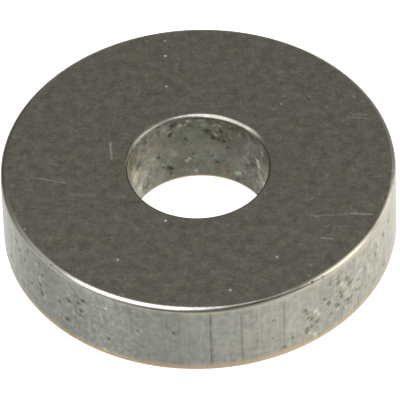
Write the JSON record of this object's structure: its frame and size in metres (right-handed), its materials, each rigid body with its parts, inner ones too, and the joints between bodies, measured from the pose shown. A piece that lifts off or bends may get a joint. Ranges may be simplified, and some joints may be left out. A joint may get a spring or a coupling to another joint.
{
  "type": "spacer ring",
  "caption": "Thick flat steel spacer ring with a straight central bore and lightly rounded edges, used to set a fixed gap under a bolt head or along a bolt.",
  "frame": {"origin": "centre of the lower flat face, on the bore's axis", "axes": "+Z along the bore from the lower face to the upper face; the ring is round, so X and Y are free, and the pictured front is at -Y"},
  "size_m": [0.018, 0.018, 0.004],
  "materials": {
    "steel": "bare steel: dark ground faces, drawn rim with die lines and small pits, drilled bore, bright tumbled edges"
  },
  "bodies": {
    "root": {"spacer_ring": "steel"}
  },
  "joints": []
}
